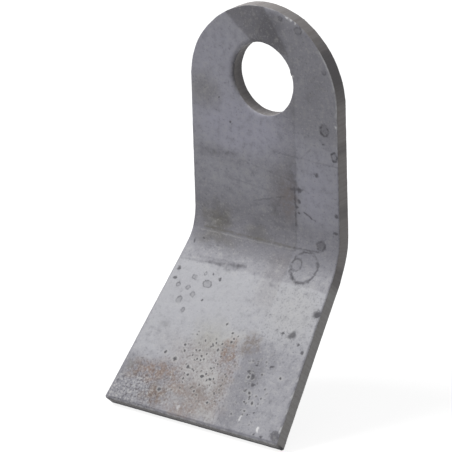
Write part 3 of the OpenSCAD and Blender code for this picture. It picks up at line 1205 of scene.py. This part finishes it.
def steel_patterns(graph, flat, fine):
    """The cloudy patterns and small pits that decide where marks show."""
    patterns = {}
    for name, (stretch, grain, detail, rough) in PATTERNS.items():
        drawn_out = graph.vector("MULTIPLY", flat, stretch) if stretch else flat
        patterns[name] = graph.noise(drawn_out, grain, detail, rough).outputs["Fac"]
    patterns["breaks"] = graph.ramp(patterns["breaks"], *BROKEN_LINES)
    patterns["lines"] = graph.ramp(patterns["lines"], *CUT_LINES)
    dots = graph.node(
        "ShaderNodeTexVoronoi", {"Vector": fine, "Scale": SMALL_PIT_GRAIN}, voronoi_dimensions="2D")
    chosen = graph.ramp(patterns["patchy"], *CHOSEN_PITS)
    for name, outline in (("pits", SMALL_PIT_EDGE), ("blooms", SMALL_PIT_BLOOM)):
        patterns[name] = graph.math("MULTIPLY", graph.ramp(dots.outputs["Distance"], *outline), chosen)
    return patterns


def steel_material(colours):
    """The worn steel of the plate."""
    material = bpy.data.materials.new("worn_rolled_steel")
    material.use_nodes = True
    material.node_tree.nodes.clear()
    graph = Graph(material.node_tree)
    output = graph.node("ShaderNodeOutputMaterial")
    shader = graph.node("ShaderNodeBsdfPrincipled")
    graph.feed(output.inputs["Surface"], shader.outputs["BSDF"])
    flat = graph.node("ShaderNodeAttribute", attribute_name="flat_place").outputs["Vector"]
    masks = facing_masks(graph)
    paint = SteelPaint(graph, colours)
    places = wobbled_places(paint, flat)
    patterns = steel_patterns(graph, flat, places["fine"])
    paint_faces(paint, masks, places, patterns)
    paint_edges(paint, flat, masks, places, patterns)
    graph.feed(shader.inputs["Base Color"], paint.colour)
    light = graph.node("ShaderNodeRGBToBW", {"Color": paint.colour}).outputs["Val"]
    graph.feed(shader.inputs["Roughness"], graph.ramp(light, *ROUGHNESS))
    grain = {"Height": patterns["grains"], "Distance": GRAIN_HEIGHT, "Strength": GRAIN_STRENGTH}
    bump = graph.node("ShaderNodeBump", grain)
    graph.feed(shader.inputs["Normal"], bump.outputs["Normal"])
    return material


class HAMMER_OT_worn_plate(bpy.types.Operator):
    """Build the worn steel plate over the construction's plate"""

    bl_idname = "hammer.worn_plate"
    bl_label = "Worn plate"

    def execute(self, context):
        sizes = context.scene.hammer_sizes
        piece = plate_copy("worn_plate")
        mesh_finely(piece, sizes)
        places, facing = note_places(piece)
        wear_surface(piece, sizes, places, facing)
        piece.data.materials.append(steel_material(context.scene.hammer_colours))
        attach(piece, "root")
        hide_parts("hammer_plate")
        return {"FINISHED"}


# Stage

CAMERA_TURN = math.radians(38.572)
CAMERA_RISE = math.radians(20.895)
CAMERA_ROLL = math.radians(-1.706)
CAMERA_LENS = 386.85
CAMERA_AIM_RIGHT = -0.01342
CAMERA_AIM_UP = -0.04831
CAMERA_FAR = 1.57646
LAMP_AIM = Vector((0, -0.015, -0.045))
KEY_DIRECTION = Vector((-0.6, -0.33, 0.73))
KEY_FAR = 1.2
KEY_SIZE = 0.5
FLOOR_SIZE = 6
FLOOR_GLOW = 0.86
WHITE = (1, 1, 1, 1)


def camera_axes():
    """The camera's directions to the right, up and back."""
    level = math.cos(CAMERA_RISE)
    back = Vector((math.sin(CAMERA_TURN) * level, -math.cos(CAMERA_TURN) * level, math.sin(CAMERA_RISE)))
    right = (-back).cross(Vector((0, 0, 1))).normalized()
    up = back.cross(right)
    rolled_right = right * math.cos(CAMERA_ROLL) + up * math.sin(CAMERA_ROLL)
    rolled_up = up * math.cos(CAMERA_ROLL) - right * math.sin(CAMERA_ROLL)
    return rolled_right, rolled_up, back


def add_camera(scene):
    """A long lens at the photograph's angle."""
    right, up, back = camera_axes()
    camera = bpy.data.objects.new("camera", bpy.data.cameras.new("camera"))
    scene.collection.objects.link(camera)
    camera.data.lens = CAMERA_LENS
    place = right * CAMERA_AIM_RIGHT + up * CAMERA_AIM_UP + back * CAMERA_FAR
    turn = Matrix((right, up, back)).transposed().to_4x4()
    camera.matrix_world = Matrix.Translation(place) @ turn
    scene.camera = camera


def add_softbox(scene, name, direction, far, size, power):
    """A square lamp that looks at the middle of the hammer."""
    lamp = bpy.data.lights.new(name, "AREA")
    lamp.energy = power
    lamp.size = size
    box = bpy.data.objects.new(name, lamp)
    scene.collection.objects.link(box)
    way = direction.normalized()
    box.location = LAMP_AIM + way * far
    box.rotation_euler = way.to_track_quat("Z", "Y").to_euler()


def white_to_the_eye(graph, plain, white):
    """Shows the white shader to the camera and in gloss, and the plain one to everything else."""
    path = graph.node("ShaderNodeLightPath")
    seen = graph.math("MAXIMUM", path.outputs["Is Camera Ray"], path.outputs["Is Glossy Ray"])
    seen = graph.math("MAXIMUM", seen, path.outputs["Is Transmission Ray"])
    return graph.node("ShaderNodeMixShader", {0: seen, 1: plain, 2: white}).outputs[0]


def add_world(scene, fill):
    """Even light from all round, and plain white behind the hammer."""
    world = bpy.data.worlds.new("white_studio")
    scene.world = world
    world.use_nodes = True
    world.node_tree.nodes.clear()
    graph = Graph(world.node_tree)
    output = graph.node("ShaderNodeOutputWorld")
    plain = graph.node("ShaderNodeBackground", {"Color": WHITE, "Strength": fill})
    white = graph.node("ShaderNodeBackground", {"Color": WHITE, "Strength": 1.0})
    graph.feed(output.inputs["Surface"], white_to_the_eye(graph, plain.outputs[0], white.outputs[0]))


def add_floor(scene, colour):
    """A wide pale floor under the cutting end."""
    bpy.ops.object.select_all(action="DESELECT")
    bpy.ops.mesh.primitive_plane_add(size=FLOOR_SIZE, location=(0, 0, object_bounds()[0][2]))
    floor = bpy.context.object
    floor.name = "floor"
    bpy.ops.object.transform_apply(location=True, rotation=False, scale=False)
    material = bpy.data.materials.new("white_floor")
    material.use_nodes = True
    material.node_tree.nodes.clear()
    graph = Graph(material.node_tree)
    output = graph.node("ShaderNodeOutputMaterial")
    paint = graph.node("ShaderNodeBsdfDiffuse", {"Color": colour4(colour)})
    glow = graph.node("ShaderNodeEmission", {"Color": WHITE, "Strength": FLOOR_GLOW})
    lifted = graph.node("ShaderNodeAddShader", {0: paint.outputs[0], 1: glow.outputs[0]})
    graph.feed(output.inputs["Surface"], white_to_the_eye(graph, paint.outputs[0], lifted.outputs[0]))
    floor.data.materials.append(material)
    floor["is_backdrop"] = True


class HAMMER_OT_stage(bpy.types.Operator):
    """Build the floor, the light and the camera"""

    bl_idname = "hammer.stage"
    bl_label = "Stage"

    def execute(self, context):
        scene = context.scene
        settings = scene.hammer_stage
        add_floor(scene, tuple(settings.floor))
        add_world(scene, settings.fill)
        add_softbox(scene, "key_softbox", KEY_DIRECTION, KEY_FAR, KEY_SIZE, settings.key_power)
        add_camera(scene)
        scene.view_settings.view_transform = "Standard"
        return {"FINISHED"}


class HAMMER_PT_panel(bpy.types.Panel):
    """Lists the steps that build the hammer"""

    bl_label = "Flail mower hammer"
    bl_idname = "HAMMER_PT_panel"
    bl_space_type = "VIEW_3D"
    bl_region_type = "UI"
    bl_category = "Hammer"

    def draw(self, context):
        layout = self.layout
        for owner in (context.scene.hammer_sizes, context.scene.hammer_colours, context.scene.hammer_stage):
            for name in owner.bl_rna.properties.keys():
                if name not in ("rna_type", "name"):
                    layout.prop(owner, name)
        layout.operator(HAMMER_OT_worn_plate.bl_idname)
        layout.operator(HAMMER_OT_stage.bl_idname)


CLASSES = (HammerSizes, HammerColours, HammerStage, HAMMER_OT_worn_plate, HAMMER_OT_stage, HAMMER_PT_panel)


def register():
    """Registers the classes and hangs the settings on the scene."""
    for one in CLASSES:
        bpy.utils.register_class(one)
    bpy.types.Scene.hammer_sizes = bpy.props.PointerProperty(type=HammerSizes)
    bpy.types.Scene.hammer_colours = bpy.props.PointerProperty(type=HammerColours)
    bpy.types.Scene.hammer_stage = bpy.props.PointerProperty(type=HammerStage)


def unregister():
    """Takes the settings off the scene and unregisters the classes."""
    del bpy.types.Scene.hammer_stage
    del bpy.types.Scene.hammer_colours
    del bpy.types.Scene.hammer_sizes
    for one in reversed(CLASSES):
        bpy.utils.unregister_class(one)


def main():
    """Builds the hammer and its stage."""
    register()
    bpy.ops.hammer.worn_plate()
    bpy.ops.hammer.stage()


if __name__ == "__main__":
    main()
